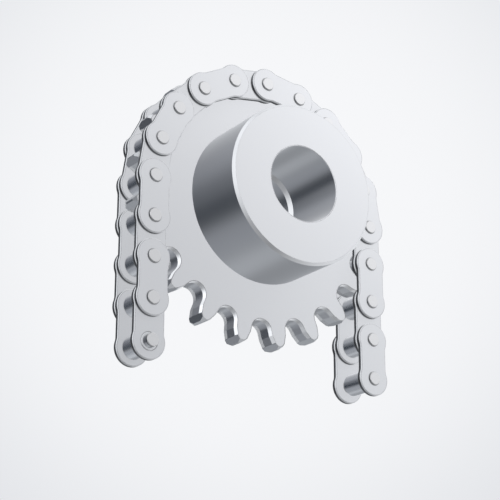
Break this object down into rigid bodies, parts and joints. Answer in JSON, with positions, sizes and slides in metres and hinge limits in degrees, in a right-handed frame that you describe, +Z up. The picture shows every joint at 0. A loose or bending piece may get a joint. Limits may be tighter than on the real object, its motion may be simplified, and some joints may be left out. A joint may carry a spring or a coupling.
{
  "type": "chain sprocket with roller chain",
  "caption": "Steel hub sprocket with a plain stepped bore and a single-strand roller chain laid over its upper half, both chain ends hanging free.",
  "frame": {"origin": "centre of the toothed disc, on the bore's axis", "axes": "+Y along the bore's axis away from the hub, so the hub points to -Y; +Z up, the way the chain ends hang down from; +X to the right seen from the hub"},
  "size_m": [0.2302, 0.0859, 0.2557],
  "materials": {
    "wheel_steel": "fine turned satin",
    "outer_plate_steel": "satin, polished flat",
    "inner_plate_steel": "satin, polished flat",
    "pin_steel": "ground, riveted ends",
    "bush_steel": "satin",
    "roller_steel": "ground satin"
  },
  "bodies": {
    "wheel": {"sprocket": "wheel_steel", "outer_plates_6": "outer_plate_steel", "pins_6": "pin_steel", "inner_plates_7": "inner_plate_steel", "bushes_7": "bush_steel", "outer_plates_8": "outer_plate_steel", "pins_8": "pin_steel", "inner_plates_9": "inner_plate_steel", "bushes_9": "bush_steel", "outer_plates_10": "outer_plate_steel", "pins_10": "pin_steel", "inner_plates_11": "inner_plate_steel", "bushes_11": "bush_steel", "outer_plates_12": "outer_plate_steel", "pins_12": "pin_steel", "inner_plates_13": "inner_plate_steel", "bushes_13": "bush_steel"},
    "link_1": {"inner_plates_1": "inner_plate_steel", "bushes_1": "bush_steel", "end_pin": "pin_steel"},
    "link_2": {"outer_plates_2": "outer_plate_steel", "pins_2": "pin_steel"},
    "link_3": {"inner_plates_3": "inner_plate_steel", "bushes_3": "bush_steel"},
    "link_4": {"outer_plates_4": "outer_plate_steel", "pins_4": "pin_steel"},
    "link_5": {"inner_plates_5": "inner_plate_steel", "bushes_5": "bush_steel"},
    "link_14": {"outer_plates_14": "outer_plate_steel", "pins_14": "pin_steel"},
    "link_15": {"inner_plates_15": "inner_plate_steel", "bushes_15": "bush_steel"},
    "link_16": {"outer_plates_16": "outer_plate_steel", "pins_16": "pin_steel"},
    "link_17": {"inner_plates_17": "inner_plate_steel", "bushes_17": "bush_steel"},
    "link_18": {"outer_plates_18": "outer_plate_steel", "pins_18": "pin_steel", "end_bush": "bush_steel"},
    "roll_1": {"roller_1": "roller_steel"},
    "roll_2": {"roller_2": "roller_steel"},
    "roll_3": {"roller_3": "roller_steel"},
    "roll_4": {"roller_4": "roller_steel"},
    "roll_5": {"roller_5": "roller_steel"},
    "roll_6": {"roller_6": "roller_steel"},
    "roll_7": {"roller_7": "roller_steel"},
    "roll_8": {"roller_8": "roller_steel"},
    "roll_9": {"roller_9": "roller_steel"},
    "roll_10": {"roller_10": "roller_steel"},
    "roll_11": {"roller_11": "roller_steel"},
    "roll_12": {"roller_12": "roller_steel"},
    "roll_13": {"roller_13": "roller_steel"},
    "roll_14": {"roller_14": "roller_steel"},
    "roll_15": {"roller_15": "roller_steel"},
    "roll_16": {"roller_16": "roller_steel"},
    "roll_17": {"roller_17": "roller_steel"},
    "roll_18": {"roller_18": "roller_steel"},
    "roll_19": {"roller_19": "roller_steel"}
  },
  "joints": [
    {"name": "pin_6_hinge", "type": "hinge", "parent": "wheel", "child": "link_5", "pos_m": [-0.09651, 0, 0.03136], "axis": [0, 1, 0], "range_deg": [0, 30]},
    {"name": "pin_5_hinge", "type": "hinge", "parent": "link_5", "child": "link_4", "pos_m": [-0.10148, 0, 0], "axis": [0, 1, 0], "range_deg": [-9, 45]},
    {"name": "pin_4_hinge", "type": "hinge", "parent": "link_4", "child": "link_3", "pos_m": [-0.10148, 0, -0.03175], "axis": [0, 1, 0], "range_deg": [-8, 45]},
    {"name": "pin_3_hinge", "type": "hinge", "parent": "link_3", "child": "link_2", "pos_m": [-0.10148, 0, -0.0635], "axis": [0, 1, 0], "range_deg": [-8, 45]},
    {"name": "pin_2_hinge", "type": "hinge", "parent": "link_2", "child": "link_1", "pos_m": [-0.10148, 0, -0.09525], "axis": [0, 1, 0], "range_deg": [-18, 45]},
    {"name": "pin_14_hinge", "type": "hinge", "parent": "wheel", "child": "link_14", "pos_m": [0.09651, 0, 0.03136], "axis": [0, -1, 0], "range_deg": [0, 30]},
    {"name": "pin_15_hinge", "type": "hinge", "parent": "link_14", "child": "link_15", "pos_m": [0.10148, 0, 0], "axis": [0, -1, 0], "range_deg": [-9, 45]},
    {"name": "pin_16_hinge", "type": "hinge", "parent": "link_15", "child": "link_16", "pos_m": [0.10148, 0, -0.03175], "axis": [0, -1, 0], "range_deg": [-8, 45]},
    {"name": "pin_17_hinge", "type": "hinge", "parent": "link_16", "child": "link_17", "pos_m": [0.10148, 0, -0.0635], "axis": [0, -1, 0], "range_deg": [-8, 45]},
    {"name": "pin_18_hinge", "type": "hinge", "parent": "link_17", "child": "link_18", "pos_m": [0.10148, 0, -0.09525], "axis": [0, -1, 0], "range_deg": [-18, 45]},
    {"name": "roller_1_spin", "type": "hinge", "parent": "link_1", "child": "roll_1", "pos_m": [-0.10148, 0, -0.127], "axis": [0, 1, 0], "continuous": true},
    {"name": "roller_2_spin", "type": "hinge", "parent": "link_1", "child": "roll_2", "pos_m": [-0.10148, 0, -0.09525], "axis": [0, 1, 0], "continuous": true},
    {"name": "roller_3_spin", "type": "hinge", "parent": "link_3", "child": "roll_3", "pos_m": [-0.10148, 0, -0.0635], "axis": [0, 1, 0], "continuous": true},
    {"name": "roller_4_spin", "type": "hinge", "parent": "link_3", "child": "roll_4", "pos_m": [-0.10148, 0, -0.03175], "axis": [0, 1, 0], "continuous": true},
    {"name": "roller_5_spin", "type": "hinge", "parent": "link_5", "child": "roll_5", "pos_m": [-0.10148, 0, 0], "axis": [0, 1, 0], "continuous": true},
    {"name": "roller_6_spin", "type": "hinge", "parent": "link_5", "child": "roll_6", "pos_m": [-0.09651, 0, 0.03136], "axis": [0, 1, 0], "continuous": true},
    {"name": "roller_7_spin", "type": "hinge", "parent": "wheel", "child": "roll_7", "pos_m": [-0.0821, 0, 0.05965], "axis": [0, 1, 0], "continuous": true},
    {"name": "roller_8_spin", "type": "hinge", "parent": "wheel", "child": "roll_8", "pos_m": [-0.05965, 0, 0.0821], "axis": [0, 1, 0], "continuous": true},
    {"name": "roller_9_spin", "type": "hinge", "parent": "wheel", "child": "roll_9", "pos_m": [-0.03136, 0, 0.09651], "axis": [0, 1, 0], "continuous": true},
    {"name": "roller_10_spin", "type": "hinge", "parent": "wheel", "child": "roll_10", "pos_m": [0, 0, 0.10148], "axis": [0, 1, 0], "continuous": true},
    {"name": "roller_11_spin", "type": "hinge", "parent": "wheel", "child": "roll_11", "pos_m": [0.03136, 0, 0.09651], "axis": [0, 1, 0], "continuous": true},
    {"name": "roller_12_spin", "type": "hinge", "parent": "wheel", "child": "roll_12", "pos_m": [0.05965, 0, 0.0821], "axis": [0, 1, 0], "continuous": true},
    {"name": "roller_13_spin", "type": "hinge", "parent": "wheel", "child": "roll_13", "pos_m": [0.0821, 0, 0.05965], "axis": [0, 1, 0], "continuous": true},
    {"name": "roller_14_spin", "type": "hinge", "parent": "wheel", "child": "roll_14", "pos_m": [0.09651, 0, 0.03136], "axis": [0, 1, 0], "continuous": true},
    {"name": "roller_15_spin", "type": "hinge", "parent": "link_15", "child": "roll_15", "pos_m": [0.10148, 0, 0], "axis": [0, 1, 0], "continuous": true},
    {"name": "roller_16_spin", "type": "hinge", "parent": "link_15", "child": "roll_16", "pos_m": [0.10148, 0, -0.03175], "axis": [0, 1, 0], "continuous": true},
    {"name": "roller_17_spin", "type": "hinge", "parent": "link_17", "child": "roll_17", "pos_m": [0.10148, 0, -0.0635], "axis": [0, 1, 0], "continuous": true},
    {"name": "roller_18_spin", "type": "hinge", "parent": "link_17", "child": "roll_18", "pos_m": [0.10148, 0, -0.09525], "axis": [0, 1, 0], "continuous": true},
    {"name": "roller_19_spin", "type": "hinge", "parent": "link_18", "child": "roll_19", "pos_m": [0.10148, 0, -0.127], "axis": [0, 1, 0], "continuous": true}
  ]
}
